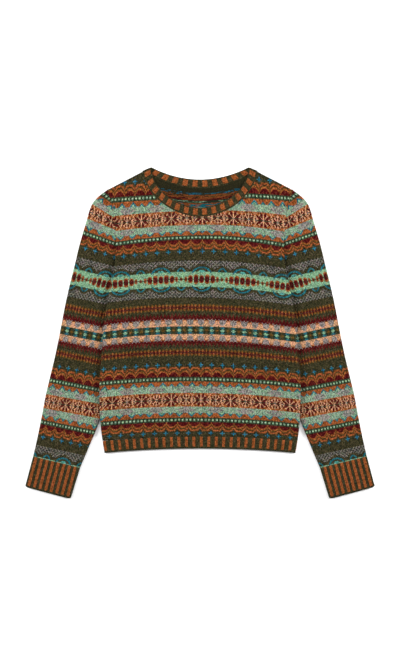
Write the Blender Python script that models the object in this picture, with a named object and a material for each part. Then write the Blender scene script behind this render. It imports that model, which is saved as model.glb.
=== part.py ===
"""A fair isle jumper laid flat with its front up, and its sleeves drawn in a little under the body.

The front and back are two walls of stranded knit that lie on each other, the sleeves are flattened tubes,
and ribbed bands finish the hem, the cuffs and the neck. +X is across the garment, +Y points to the neck,
+Z is up, and the surface that the jumper lies on is z = 0. Every piece is built from sections of its wall.
"""

import bisect
import math

import bmesh
import bpy
import numpy as np

MM = 0.001

# Cloth
WALL = 2.0 * MM  # one thickness of the stranded knit
SLIT = 0.6 * MM  # air between two layers that lie on each other
SEAM_GAP = 0.3 * MM  # between two pieces at a seam
CHORD_ALLOWANCE = 0.25 * MM  # more gap where both sides of a seam are curved
FOLD_RADIUS = WALL + SLIT / 2  # outer radius of a fold, half the height of two layers
THIN_EDGE = 0.5 * MM  # what is left of a wall's height at a rounded edge

# Ribs
RIB_RISE = 0.6 * MM
RIB_SLOPE = 0.8 * MM  # width of a rib's flank
HEM_RIB_PERIOD = 15.4 * MM
HEM_RIB_WIDTH = 7.4 * MM
HEM_RIB_OFFSET = 2.7 * MM  # from the middle of the front to the middle of the nearest rib
CUFF_RIBS = 8
CUFF_RIB_SHARE = 0.48  # of a cuff rib's period
NECK_FRONT_RIBS = 16
NECK_BACK_RIBS = 10
NECK_RIB_WIDTH = 9.4 * MM
NECK_BACK_RIB_PERIOD = 18.9 * MM

# Neck and shoulders
NECK_POINT = (100.0 * MM, 339.5 * MM)  # where neck and shoulder meet
SHOULDER_POINT = (190.6 * MM, 292.5 * MM)
NECK_FRONT_DROP = 83.0 * MM
NECK_BACK_DROP = 25.0 * MM
NECK_ROUNDNESS = 1.88  # exponent of the front neckline's curve, 2 for an ellipse
BAND_WIDTH = 18.5 * MM
BAND_ON_SHOULDER = 16.7 * MM  # the neckband's width along the shoulder line
BAND_EDGE = 2.2 * MM  # plain edge above the neckband's ribs
BAND_RIB_LENGTH = 13.0 * MM
BACK_BAND_WALL = 1.6 * MM  # thinner, so that the ribs on its inside clear the front

# Hem
HEM_SEAM_HEIGHT = -213.2 * MM  # y of the seam at the middle of the front
HEM_HEIGHT = 24.4 * MM
HEM_DROP = 9.2 * MM  # how far the hem hangs lower at the sides
HEM_EDGE = 3.5 * MM  # plain edge under the ribs

# Half width of the body, from the hem up the side and the armhole to the shoulder
# (y, half_width) in mm
BODY_SIDE = [
    (-248.0, 195.5),
    (-222.0, 199.8),
    (-179.0, 204.6),
    (-132.0, 206.2),
    (-84.0, 205.0),
    (-37.0, 201.0),
    (22.0, 196.5),
    (73.0, 188.6),
    (122.0, 178.8),
    (150.0, 174.2),
    (180.0, 171.6),
    (217.0, 174.3),
    (250.0, 178.0),
    (270.0, 183.0),
    (292.5, 190.6),
]
UNDERARM = 150.0 * MM  # y where the armhole starts
CHEST = 214.0 * MM  # y of the highest row that runs from side to side

# Sections of a sleeve, from the armhole to the cuff seam: its two folds as it lies flat
# (outer_x, outer_y, inner_x, inner_y) in mm
SLEEVE_SECTIONS = [
    (191.0, 292.3, 174.6, 149.8),
    (200.5, 285.5, 175.1, 146.5),
    (211.0, 277.0, 175.5, 142.5),
    (221.0, 264.5, 175.0, 137.0),
    (227.7, 248.5, 173.6, 130.0),
    (233.7, 226.5, 170.8, 122.0),
    (240.7, 203.0, 165.5, 112.0),
    (248.7, 175.0, 154.0, 97.0),
    (256.7, 141.0, 144.0, 76.0),
    (267.7, 97.0, 140.0, 46.0),
    (277.0, 55.0, 144.0, 14.0),
    (286.0, 8.0, 153.5, -26.0),
    (296.3, -43.0, 167.0, -72.0),
    (307.0, -88.0, 180.5, -114.0),
    (316.7, -128.5, 195.5, -154.0),
    (325.0, -173.0, 212.0, -196.0),
    (333.2, -213.0, 228.5, -236.0),
    (342.4, -253.6, 246.0, -277.2),
]
CUFF_END = (359.0 * MM, -316.4 * MM, 265.5 * MM, -341.3 * MM)  # the same four for the cuff's open end
CUFF_CORNER = 3.0 * MM  # how far the cuff's corners are drawn in
BOW_SECTIONS = 6  # sections over which the armhole's curve fades out of the sleeve

# Where the body lies over a sleeve
LIFT = 2 * FOLD_RADIUS + SLIT
LIFT_RAMP = 34.0 * MM
LIFT_MARGIN = 14.0 * MM  # the body is at its full height this far before the sleeve starts
LIFT_FALL = 0.7  # how fast the lift runs out above the underarm and below the sleeve
SLEEVE_LEAVES = -190.0 * MM  # y under which the sleeve is clear of the body

# Where the mesh has its rows and columns
EDGE_STEPS = (0.0, 0.3 * MM, 1.0 * MM, FOLD_RADIUS)  # distances from a folded edge
PANEL_ROWS = (-222, -202, -180, -150, -110, -70, -25, 20, 65, 100, 122, 137, 150, 166, 188, 214, 240, 262, 280)
NECK_COLUMNS = 9
SHOULDER_COLUMNS = 4

COLOURS = {  # red, green and blue, linear
    "front": (0.055, 0.050, 0.024),
    "back": (0.055, 0.050, 0.024),
    "sleeve": (0.050, 0.050, 0.030),
    "neckband": (0.060, 0.050, 0.024),
    "hem_rib": (0.160, 0.070, 0.030),
    "cuff": (0.160, 0.070, 0.030),
}
KNIT_ROUGHNESS = 0.9


def blend(start, end, share):
    return start + (end - start) * share


def smooth_step(share):
    share = min(1.0, max(0.0, share))
    return share * share * (3 - 2 * share)


def read(table, at):
    """Reads a table of (key, value) in mm at a key in metres, on a smooth curve through its rows."""
    keys = [row[0] * MM for row in table]
    values = [row[1] * MM for row in table]
    last = len(keys) - 1
    low = min(max(bisect.bisect_right(keys, at) - 1, 0), last - 1)

    def slope(i):
        before, after = max(i - 1, 0), min(i + 1, last)
        return (values[after] - values[before]) / (keys[after] - keys[before])

    span = keys[low + 1] - keys[low]
    t = min(1.0, max(0.0, (at - keys[low]) / span))
    rise = values[low + 1] - values[low]
    start, end = slope(low) * span, slope(low + 1) * span
    return values[low] + start * t + (3 * rise - 2 * start - end) * t**2 + (start + end - 2 * rise) * t**3


def half_width(y):
    return read(BODY_SIDE, y)


def shoulder_y(x):
    share = (abs(x) - NECK_POINT[0]) / (SHOULDER_POINT[0] - NECK_POINT[0])
    return blend(NECK_POINT[1], SHOULDER_POINT[1], share)


def hem_seam_y(x):
    return HEM_SEAM_HEIGHT - HEM_DROP * (x / half_width(HEM_SEAM_HEIGHT)) ** 2


def sleeve_inner_x(y):
    """The hidden fold of the sleeve under the body, run on past both of its ends."""
    table = [(row[3], row[2]) for row in reversed(SLEEVE_SECTIONS)]
    return read(table, y) + LIFT_FALL * max(0.0, y - UNDERARM, SLEEVE_LEAVES - y)


def lift(x, y):
    """How far the body's underside is above the floor, where it lies over a sleeve."""
    reach = abs(x) - sleeve_inner_x(y) + LIFT_MARGIN + LIFT_RAMP
    return LIFT * smooth_step(reach / LIFT_RAMP)


def fold_distance(x, y):
    """How far a point of the body is from the edge where front and back meet."""
    side = half_width(y) - abs(x) + max(0.0, y - UNDERARM)
    slope = math.hypot(1.0, (SHOULDER_POINT[1] - NECK_POINT[1]) / (SHOULDER_POINT[0] - NECK_POINT[0]))
    shoulder = (shoulder_y(x) - y) / slope
    return max(0.0, min(side, shoulder))


def round_over(distance):
    """Height of a rounded edge over its middle, at a distance from the edge."""
    inward = min(distance, FOLD_RADIUS) - FOLD_RADIUS
    return max(THIN_EDGE, math.sqrt(FOLD_RADIUS**2 - inward**2))


def layer_heights(x, y, front):
    """Outer and inner height of the front or the back layer at a point of the body."""
    distance = fold_distance(x, y)
    middle = lift(x, y) + FOLD_RADIUS
    outer = round_over(distance)
    inner = blend(SEAM_GAP, SLIT, min(1.0, distance / FOLD_RADIUS)) / 2
    if front:
        return middle + outer, middle + inner
    return middle - outer, middle - inner


def neck_curve(turn, widen, along_shoulder):
    """The front neckline: turn 0 at the middle to 1 at the shoulder, widen 0 inside to 1 outside the band."""
    width = NECK_POINT[0] + widen * BAND_WIDTH
    depth = NECK_FRONT_DROP + widen * BAND_WIDTH
    start = widen * math.asin((along_shoulder / depth) ** (NECK_ROUNDNESS / 2))
    angle = blend(math.pi / 2, start, turn)
    x = width * math.cos(angle) ** (2 / NECK_ROUNDNESS) if turn > 0 else 0.0
    y = NECK_POINT[1] - depth * math.sin(angle) ** (2 / NECK_ROUNDNESS)
    return x, y


def band_shoulder_drop():
    """How far the outer end of the neckband is under the neck point."""
    run = SHOULDER_POINT[0] - NECK_POINT[0]
    fall = NECK_POINT[1] - SHOULDER_POINT[1]
    return BAND_ON_SHOULDER * fall / math.hypot(run, fall)


def front_neck(turn, widen):
    return neck_curve(turn, widen, band_shoulder_drop())


def back_neck(across, down):
    """The back neckline: across -1 to 1, down 0 at its edge to 1 at the band's seam."""
    run = BAND_ON_SHOULDER * math.cos(math.atan2(band_shoulder_drop(), BAND_ON_SHOULDER))
    end_x = NECK_POINT[0] + down * run
    end_y = NECK_POINT[1] - down * band_shoulder_drop()
    middle_y = NECK_POINT[1] - NECK_BACK_DROP - down * BAND_WIDTH
    return across * end_x, blend(middle_y, end_y, across**2)


def even_turns(curve, count):
    """Shares from 0 to 1 that split a curve into equal lengths."""
    shares = np.linspace(0.0, 1.0, 200)
    points = np.array([curve(share) for share in shares])
    lengths = np.append(0.0, np.cumsum(np.linalg.norm(np.diff(points, axis=0), axis=1)))
    return np.interp(np.linspace(0.0, lengths[-1], count), lengths, shares), lengths[-1]


def rib_stations(centres, width, ends):
    """Positions along a band, each with 1 on a rib's back and 0 beside it."""
    stations = [(ends[0], 0.0)]
    for centre in centres:
        for side, raised in ((-0.5, 0.0), (-0.5, 1.0), (0.5, 1.0), (0.5, 0.0)):
            inward = RIB_SLOPE * raised * (1 if side < 0 else -1)
            stations.append((centre + side * width + inward, raised))
    return stations + [(ends[1], 0.0)]


def new_object(name, bm, colour):
    """Makes the object of a piece, with its own material."""
    bmesh.ops.recalc_face_normals(bm, faces=bm.faces)
    if bm.calc_volume(signed=True) < 0:
        bmesh.ops.reverse_faces(bm, faces=bm.faces)
    mesh = bpy.data.meshes.new(name)
    bm.to_mesh(mesh)
    bm.free()
    piece = bpy.data.objects.new(name, mesh)
    garment.objects.link(piece)
    material = bpy.data.materials.new(name + "_knit")
    material.use_nodes = True
    shader = material.node_tree.nodes["Principled BSDF"]
    shader.inputs["Base Color"].default_value = (*colour, 1.0)
    shader.inputs["Roughness"].default_value = KNIT_ROUGHNESS
    shader.inputs["Metallic"].default_value = 0.0
    mesh.materials.append(material)
    mesh.shade_smooth()
    mesh.set_sharp_from_angle(angle=math.radians(40))
    return piece


def add_skin(bm, columns, rows, place):
    """Adds a grid whose points are placed by place(column, row), and returns its points as lines[row][column]."""
    grid = bmesh.ops.create_grid(bm, x_segments=len(columns) - 1, y_segments=len(rows) - 1, size=0.5)
    lines = [[None] * len(columns) for _ in rows]
    for vert in grid["verts"]:
        column = round((vert.co.x + 0.5) * (len(columns) - 1))
        row = round((vert.co.y + 0.5) * (len(rows) - 1))
        vert.co = place(columns[column], rows[row])
        lines[row][column] = vert
    return lines


def join_rims(bm, outer, inner):
    """Closes the space between two matching loops of points with a ring of faces."""
    for i in range(len(outer)):
        bm.faces.new((outer[i - 1], outer[i], inner[i], inner[i - 1]))


def wall(name, columns, rows, outer, inner, colour):
    """A closed wall between two skins that share their columns and rows."""
    bm = bmesh.new()
    rims = []
    for place in (outer, inner):
        lines = add_skin(bm, columns, rows, place)
        right = [line[-1] for line in lines[1:-1]]
        left = [line[0] for line in lines[1:-1]]
        rims.append(lines[0] + right + lines[-1][::-1] + left[::-1])
    join_rims(bm, *rims)
    return new_object(name, bm, colour)


def tube(name, side, around, stations, outer, inner, colour):
    """A tube's closed wall: two skins that are closed round the tube and joined at its open ends.

    It is made on the right, and side -1 mirrors it to the left.
    """
    bm = bmesh.new()
    ends = ([], [])
    for place in (outer, inner):
        lines = add_skin(bm, list(around) + [around[0]], stations, place)
        bmesh.ops.weld_verts(bm, targetmap={line[-1]: line[0] for line in lines})
        ends[0].append(lines[0][:-1])
        ends[1].append(lines[-1][:-1])
    for end in ends:
        join_rims(bm, *end)
    bmesh.ops.triangulate(bm, faces=bm.faces)
    bmesh.ops.scale(bm, vec=(side, 1.0, 1.0), verts=bm.verts)
    return new_object(name, bm, colour)


def body_columns(front):
    """Columns of a body panel: (share of the width, distance past it, y of the top end), left to right.

    The front and the back share them, so that the two walls lie evenly on each other.
    """
    gap = (SEAM_GAP + CHORD_ALLOWANCE) / BAND_WIDTH
    edge_x = SHOULDER_POINT[0] - FOLD_RADIUS
    turns, _ = even_turns(lambda turn: front_neck(turn, 1.0), NECK_COLUMNS)
    half = []
    for turn in turns:
        x, y = front_neck(turn, 1.0 + gap)
        share = x / (half_width(y) - FOLD_RADIUS)
        if not front:
            end_x, _ = back_neck(1.0, 1.0 + gap)
            _, y = back_neck(min(1.0, share * edge_x / end_x), 1.0 + gap)
        half.append((share, 0.0, y))
    start_x = half[-1][0] * edge_x
    for step in range(1, SHOULDER_COLUMNS + 1):
        x = blend(start_x, edge_x, step / SHOULDER_COLUMNS)
        half.append((x / edge_x, 0.0, shoulder_y(x)))
    for inset in reversed(EDGE_STEPS[:-1]):
        half.append((1.0, FOLD_RADIUS - inset, shoulder_y(SHOULDER_POINT[0] - inset)))
    left = [(-share, -past, y) for share, past, y in reversed(half[1:])]
    return left + half


def body_rows():
    """Heights of the rows at the side of the body, closer together at the rounded shoulder edge."""
    steep = 1.12  # a column's length over a distance from the sloping shoulder
    return [y * MM for y in PANEL_ROWS] + [SHOULDER_POINT[1] - inset * steep for inset in reversed(EDGE_STEPS)]


def row_y(x, side_y, top):
    """Height of a row at a column. The rows follow the curved hem, and spread up to the column's top end."""
    foot = hem_seam_y(x) + SEAM_GAP
    if side_y > CHEST:
        return blend(CHEST, top, (side_y - CHEST) / (SHOULDER_POINT[1] - CHEST))
    return blend(foot, CHEST, (side_y - PANEL_ROWS[0] * MM) / (CHEST - PANEL_ROWS[0] * MM))


def make_body_panel(name, front):
    """The front or the back, from the hem seam to the neckline and shoulders."""

    def place(column, row, outside):
        share, past, top = column
        y = row_y(share * half_width(HEM_SEAM_HEIGHT), row, top)
        x = share * (half_width(y) - FOLD_RADIUS) + past
        outer, inner = layer_heights(x, y, front)
        return x, y, outer if outside else inner

    return wall(
        name,
        body_columns(front),
        body_rows(),
        lambda column, row: place(column, row, True),
        lambda column, row: place(column, row, False),
        COLOURS[name],
    )


def make_hem_rib(name, front):
    """The ribbed hem of the front, or the plain-backed hem of the back that rests on the floor."""
    reach = half_width(HEM_SEAM_HEIGHT) - FOLD_RADIUS
    if front:
        first = -math.floor((reach + HEM_RIB_OFFSET) / HEM_RIB_PERIOD) * HEM_RIB_PERIOD + HEM_RIB_OFFSET
        centres = np.arange(first, reach - HEM_RIB_WIDTH / 2, HEM_RIB_PERIOD)
        centres = [centre for centre in centres if centre - HEM_RIB_WIDTH / 2 > -reach]
        stations = rib_stations(centres, HEM_RIB_WIDTH, (-reach, reach))
    else:
        stations = [(x, 0.0) for x in np.linspace(-reach, reach, 14)]
    edges = [FOLD_RADIUS - inset for inset in reversed(EDGE_STEPS[:-1])]
    columns = [(-reach, -past, 0.0) for past in reversed(edges)]
    columns += [(x, 0.0, raised) for x, raised in stations]
    columns += [(reach, past, 0.0) for past in edges]
    ribbed = HEM_HEIGHT - HEM_EDGE
    rows = [(0.0, 1.0, 0.0), (ribbed, 1.0, 0.0), (ribbed + RIB_SLOPE, 0.0, 0.0), (HEM_HEIGHT, 0.0, 0.5 * MM)]

    def place(column, row, outside):
        x, past, raised = column
        down, rib, thinner = row
        y = hem_seam_y(x) - down
        x = x / reach * (half_width(y) - FOLD_RADIUS) + past
        outer, inner = layer_heights(x, y, front)
        if not outside:
            return x, y, inner
        if front:
            return x, y, outer + RIB_RISE * raised * rib - thinner
        return x, y, outer

    return wall(
        name,
        columns,
        rows,
        lambda column, row: place(column, row, True),
        lambda column, row: place(column, row, False),
        COLOURS["hem_rib"],
    )


def band_rows():
    """Rows across a neckband from its free edge: (distance, on a rib, how much lower)."""
    ribs_end = BAND_EDGE + BAND_RIB_LENGTH
    return [
        (0.0, 0.0, 0.7 * MM),
        (BAND_EDGE, 1.0, 0.0),
        (ribs_end, 1.0, 0.0),
        (ribs_end + RIB_SLOPE, 0.0, 0.0),
        (BAND_WIDTH, 0.0, 0.0),
    ]


def make_neckband_front():
    """The front of the neckband, which runs round the neckline from shoulder to shoulder."""
    _, length = even_turns(lambda turn: front_neck(turn, 0.5), 2)
    period = 2 * length / NECK_FRONT_RIBS
    centres = [(i - (NECK_FRONT_RIBS - 1) / 2) * period for i in range(NECK_FRONT_RIBS)]
    columns = rib_stations(centres, NECK_RIB_WIDTH, (-length, length))
    steps = 120
    even, _ = even_turns(lambda turn: front_neck(turn, 0.5), steps)
    distances = np.linspace(0.0, length, steps)

    def place(column, row, outside):
        along, raised = column
        down, rib, thinner = row
        turn = float(np.interp(abs(along), distances, even))
        x, y = front_neck(turn, down / BAND_WIDTH)
        x = math.copysign(x, along)
        outer, inner = layer_heights(x, y, True)
        if outside:
            return x, y, outer + RIB_RISE * raised * rib - thinner * (outer > 3 * WALL / 2)
        return x, y, inner

    return wall(
        "neckband_front",
        columns,
        band_rows(),
        lambda column, row: place(column, row, True),
        lambda column, row: place(column, row, False),
        COLOURS["neckband"],
    )


def make_neckband_back():
    """The back of the neckband, whose inside shows through the neck and is ribbed."""
    half = NECK_BACK_RIB_PERIOD * (NECK_BACK_RIBS - 1) / 2
    centres = [-half + i * NECK_BACK_RIB_PERIOD for i in range(NECK_BACK_RIBS)]
    reach = NECK_POINT[0]
    columns = rib_stations(centres, NECK_RIB_WIDTH, (-reach, reach))

    def place(column, row, outside):
        along, raised = column
        down, rib, thinner = row
        x, y = back_neck(along / reach, down / BAND_WIDTH)
        outer, _ = layer_heights(x, y, False)
        if outside:
            return x, y, min(outer, BACK_BAND_WALL - THIN_EDGE)
        return x, y, BACK_BAND_WALL + RIB_RISE * raised * rib - thinner * 0.5

    return wall(
        "neckband_back",
        columns,
        band_rows(),
        lambda column, row: place(column, row, True),
        lambda column, row: place(column, row, False),
        COLOURS["neckband"],
    )


def flat_tube_loop(top_points, bottom_shares):
    """Points round a flattened tube: (share of its width, angle round the fold, on a rib)."""
    loop = [(0.0, angle, 0.0) for angle in (-90, -135, 180, 135)]
    loop += [(share, 90, raised) for share, raised in top_points]
    loop += [(1.0, angle, 0.0) for angle in (45, 0, -45)]
    loop += [(share, -90, 0.0) for share in sorted(bottom_shares, reverse=True)]
    return loop


def across_tube(point, width, radius, rib_rise=0.0):
    """Distance from the outer fold and height of a point of the loop, for a skin of this radius."""
    share, angle, raised = point
    turn = math.radians(angle)
    across = FOLD_RADIUS + share * (width - 2 * FOLD_RADIUS) + radius * math.cos(turn)
    return across / width, FOLD_RADIUS + radius * math.sin(turn) + rib_rise * raised


def make_sleeve(name, side):
    """A sleeve from the armhole to the cuff seam, as a flattened tube on the floor."""
    sections = [tuple(value * MM for value in row) for row in SLEEVE_SECTIONS]
    armhole_top, armhole_end = sections[0][1], sections[0][3]
    seam_rows = [y * MM for y in PANEL_ROWS if y * MM > UNDERARM]
    shares = [0.0, 1.0] + [(armhole_top - y) / (armhole_top - armhole_end) for y in seam_rows]
    loop = flat_tube_loop([(share, 0.0) for share in sorted(shares)], [share for share in shares if share > 0.0])

    def place(point, station, radius):
        outer_x, outer_y, inner_x, inner_y = sections[station]
        share, height = across_tube(point, math.hypot(outer_x - inner_x, outer_y - inner_y), radius)
        at = blend(armhole_top, armhole_end, share)
        bow = half_width(at) + SEAM_GAP + CHORD_ALLOWANCE / 2 - blend(sections[0][0], sections[0][2], share)
        bow *= max(0.0, 1.0 - station / BOW_SECTIONS)
        return blend(outer_x, inner_x, share) + bow, blend(outer_y, inner_y, share), height

    return tube(
        name,
        side,
        loop,
        list(range(len(sections))),
        lambda point, station: place(point, station, FOLD_RADIUS),
        lambda point, station: place(point, station, FOLD_RADIUS - WALL),
        COLOURS["sleeve"],
    )


def make_cuff(name, side):
    """A ribbed cuff. The ribs are on its upper face, and the face that rests on the floor is flat."""
    seam = tuple(value * MM for value in SLEEVE_SECTIONS[-1])
    length = math.hypot(CUFF_END[0] - seam[0], CUFF_END[1] - seam[1])
    period = 1.0 / CUFF_RIBS
    slope = 0.06 * period
    top = [(0.0, 0.0)]
    for rib in range(CUFF_RIBS):
        middle = (rib + 0.5) * period
        half = CUFF_RIB_SHARE * period / 2
        top += [(middle - half - slope, 0.0), (middle - half + slope, 1.0)]
        top += [(middle + half - slope, 1.0), (middle + half + slope, 0.0)]
    loop = flat_tube_loop(top + [(1.0, 0.0)], np.linspace(0.2, 1.0, 5))
    stations = [
        (SEAM_GAP / length, 1.0, 0.0),
        (1.0 - HEM_EDGE / length, 1.0, 0.0),
        (1.0 - (HEM_EDGE - RIB_SLOPE) / length, 0.0, 0.0),
        (1.0, 0.0, 0.4 * MM),
    ]

    def place(point, station, radius):
        down, rib, thinner = station
        outer_x, outer_y, inner_x, inner_y = (blend(seam[i], CUFF_END[i], down) for i in range(4))
        width = math.hypot(outer_x - inner_x, outer_y - inner_y)
        outside = radius == FOLD_RADIUS
        share, height = across_tube(point, width, radius, RIB_RISE * rib if outside else 0.0)
        if outside and point[1] == 90:
            height -= thinner
        drawn = CUFF_CORNER * down**8 * abs(2 * share - 1) ** 16
        x = blend(outer_x, inner_x, share) - drawn * (CUFF_END[0] - seam[0]) / length
        y = blend(outer_y, inner_y, share) - drawn * (CUFF_END[1] - seam[1]) / length
        return x, y, height

    return tube(
        name,
        side,
        loop,
        stations,
        lambda point, station: place(point, station, FOLD_RADIUS),
        lambda point, station: place(point, station, FOLD_RADIUS - WALL),
        COLOURS["cuff"],
    )


for old in list(bpy.data.objects):
    bpy.data.objects.remove(old, do_unlink=True)
garment = bpy.data.collections.new("fair_isle_jumper")
bpy.context.scene.collection.children.link(garment)

make_body_panel("front", True)
make_body_panel("back", False)
make_hem_rib("hem_rib_front", True)
make_hem_rib("hem_rib_back", False)
make_neckband_front()
make_neckband_back()
for side_name, side_sign in (("left", -1), ("right", 1)):
    make_sleeve("sleeve_" + side_name, side_sign)
    make_cuff("cuff_" + side_name, side_sign)
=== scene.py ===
# %% [markdown]
# # A fair isle jumper, stitch by stitch
#
# A fair isle jumper is knitted with two yarns in every row. The one that isn't needed is carried along
# the inside, so the cloth is double and the pattern is made of whole stitches, each a small V.
#
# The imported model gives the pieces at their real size: front, back, two sleeves and the ribbed bands.
# This lesson knits each of them again as a mesh with one face for each stitch. A face holds the number
# of its yarn, which is looked up in charts like a knitter's, and the material draws the V's.

# %% Start from the frame
import math
from functools import partial

import bmesh
import bpy
import numpy as np
from mathutils import Matrix, Vector


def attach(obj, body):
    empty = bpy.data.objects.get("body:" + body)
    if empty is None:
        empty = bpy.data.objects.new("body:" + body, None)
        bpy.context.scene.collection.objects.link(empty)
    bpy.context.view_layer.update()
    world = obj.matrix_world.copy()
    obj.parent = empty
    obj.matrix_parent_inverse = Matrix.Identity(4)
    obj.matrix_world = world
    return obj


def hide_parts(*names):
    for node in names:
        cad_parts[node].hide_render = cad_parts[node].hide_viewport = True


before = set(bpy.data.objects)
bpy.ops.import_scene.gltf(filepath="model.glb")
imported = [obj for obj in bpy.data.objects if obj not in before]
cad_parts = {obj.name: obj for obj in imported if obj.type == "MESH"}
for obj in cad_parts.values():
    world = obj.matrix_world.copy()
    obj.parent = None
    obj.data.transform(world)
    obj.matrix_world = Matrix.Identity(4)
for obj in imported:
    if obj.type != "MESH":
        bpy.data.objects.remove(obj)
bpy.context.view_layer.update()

MM = 0.001
print("the pieces to knit:", ", ".join(sorted(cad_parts)))

# %% [markdown]
# ## The stage
#
# The jumper lies flat on a white table and is seen from straight above. A long lens far away keeps its
# sides from leaning. The room itself is bright. Softboxes to the left, to the right and at the top of the
# table look across the cloth, so that ribs, folds and the edges of the body have a shaded side.

# %% Camera
VIEW_HEIGHT = 1365.3 * MM  # what the picture's long side covers at the height of the cloth
VIEW_CENTRE = (0.0, -0.6 * MM)
CLOTH_TOP = 5 * MM
CAMERA_DISTANCE = 4.2
SENSOR = 36.0

camera_data = bpy.data.cameras.new("camera")
camera_data.sensor_width = SENSOR
camera_data.lens = SENSOR * CAMERA_DISTANCE / VIEW_HEIGHT
camera_data.clip_end = 20.0
camera = bpy.data.objects.new("camera", camera_data)
camera.location = (*VIEW_CENTRE, CAMERA_DISTANCE + CLOTH_TOP)
scene = bpy.context.scene
scene.collection.objects.link(camera)
bpy.context.scene.camera = camera
scene.view_settings.view_transform = "Standard"
scene.view_settings.look = "None"
print(f"camera {CAMERA_DISTANCE} m above the table, lens {camera_data.lens:.0f} mm")


# %% Colours and nodes
def linear(hex_colour):
    """Turns an sRGB hex colour into linear red, green, blue and alpha."""
    channels = [int(hex_colour[i:i + 2], 16) / 255 for i in (1, 3, 5)]
    return (*(c / 12.92 if c <= 0.04045 else ((c + 0.055) / 1.055) ** 2.4 for c in channels), 1.0)


def add_node(tree, kind, inputs=(), **settings):
    """Adds a shader node, sets its settings, and gives its inputs values or links, by name or number.

    A node that is given as an input stands for its first output.
    """
    node = tree.nodes.new(kind)
    for name, value in settings.items():
        setattr(node, name, value)
    for name, value in dict(inputs).items():
        if isinstance(value, bpy.types.Node):
            value = value.outputs[0]
        if isinstance(value, bpy.types.NodeSocket):
            tree.links.new(value, node.inputs[name])
        else:
            node.inputs[name].default_value = value
    return node


def new_material(name):
    """An empty material, and the way to add nodes to it."""
    material = bpy.data.materials.new(name)
    material.use_nodes = True
    material.node_tree.nodes.clear()
    return material, partial(add_node, material.node_tree)


WHITE_LAMINATE = linear("#fdfdfd")
print("the table's white is", [round(channel, 2) for channel in WHITE_LAMINATE[:3]])

# %% Light and table
TABLE_SIZE = 8.0
UNDER_CLOTH = 0.3 * MM  # how far the table top is below the jumper
ROOM_LIGHT = 0.55
world = bpy.data.worlds.new("soft_room")
world.use_nodes = True
world.node_tree.nodes["Background"].inputs["Color"].default_value = (1.0, 1.0, 1.0, 1.0)
world.node_tree.nodes["Background"].inputs["Strength"].default_value = ROOM_LIGHT
scene.world = world


def add_softbox(name, x, y, height, size, watts):
    """A square soft light beside the table that looks at its middle."""
    data = bpy.data.lights.new(name, "AREA")
    data.size, data.energy = size, watts
    softbox = bpy.data.objects.new(name, data)
    softbox.location = (x, y, height)
    softbox.rotation_euler = Vector((-x, -y, -height)).to_track_quat("-Z", "Y").to_euler()
    scene.collection.objects.link(softbox)


SOFTBOXES = [  # (name, x, y, height, size, watts) in metres
    ("softbox_left", -2.2, 0.5, 1.0, 0.8, 78.0),
    ("softbox_right", 2.2, 0.5, 1.0, 0.8, 78.0),
    ("softbox_top", 0.0, 2.4, 1.6, 0.9, 30.0),
]
for softbox in SOFTBOXES:
    add_softbox(*softbox)

bm = bmesh.new()
bmesh.ops.create_grid(bm, x_segments=1, y_segments=1, size=TABLE_SIZE / 2)
bmesh.ops.translate(bm, vec=(0.0, 0.0, -UNDER_CLOTH), verts=bm.verts)
table_mesh = bpy.data.meshes.new("table")
bm.to_mesh(table_mesh)
bm.free()
table = bpy.data.objects.new("table", table_mesh)
scene.collection.objects.link(table)

white_laminate, add = new_material("white_laminate")
shader = add("ShaderNodeBsdfPrincipled", {"Base Color": WHITE_LAMINATE, "Roughness": 0.7})
add("ShaderNodeOutputMaterial", {"Surface": shader})
table_mesh.materials.append(white_laminate)
print(f"{len(SOFTBOXES)} softboxes round a table of {TABLE_SIZE:.0f} by {TABLE_SIZE:.0f} m")

# %% [markdown]
# ## The shape of the garment
#
# All pieces share a few curves: the side of the body, the shoulder, the neckline and the folds of the
# sleeves. They are the same named sizes that the solids are built from, so that what is knitted here
# fits them. Each is a short table with a smooth curve through its rows.

# %% Sizes and curves of the garment
WALL = 2.0 * MM  # one thickness of the stranded knit
SLIT = 0.6 * MM  # air between two layers
SEAM_GAP = 0.3 * MM
FOLD_RADIUS = WALL + SLIT / 2
THIN_EDGE = 0.5 * MM
RIB_RISE = 0.6 * MM

NECK_POINT = (100.0 * MM, 339.5 * MM)
SHOULDER_POINT = (190.6 * MM, 292.5 * MM)
NECK_FRONT_DROP = 83.0 * MM
NECK_BACK_DROP = 25.0 * MM
NECK_ROUNDNESS = 1.88
BAND_WIDTH = 18.5 * MM
BAND_ON_SHOULDER = 16.7 * MM
BACK_BAND_WALL = 1.6 * MM

HEM_SEAM_HEIGHT = -213.2 * MM
HEM_HEIGHT = 24.4 * MM
HEM_DROP = 9.2 * MM
UNDERARM = 150.0 * MM
SIDES = (("left", -1), ("right", 1))

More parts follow.
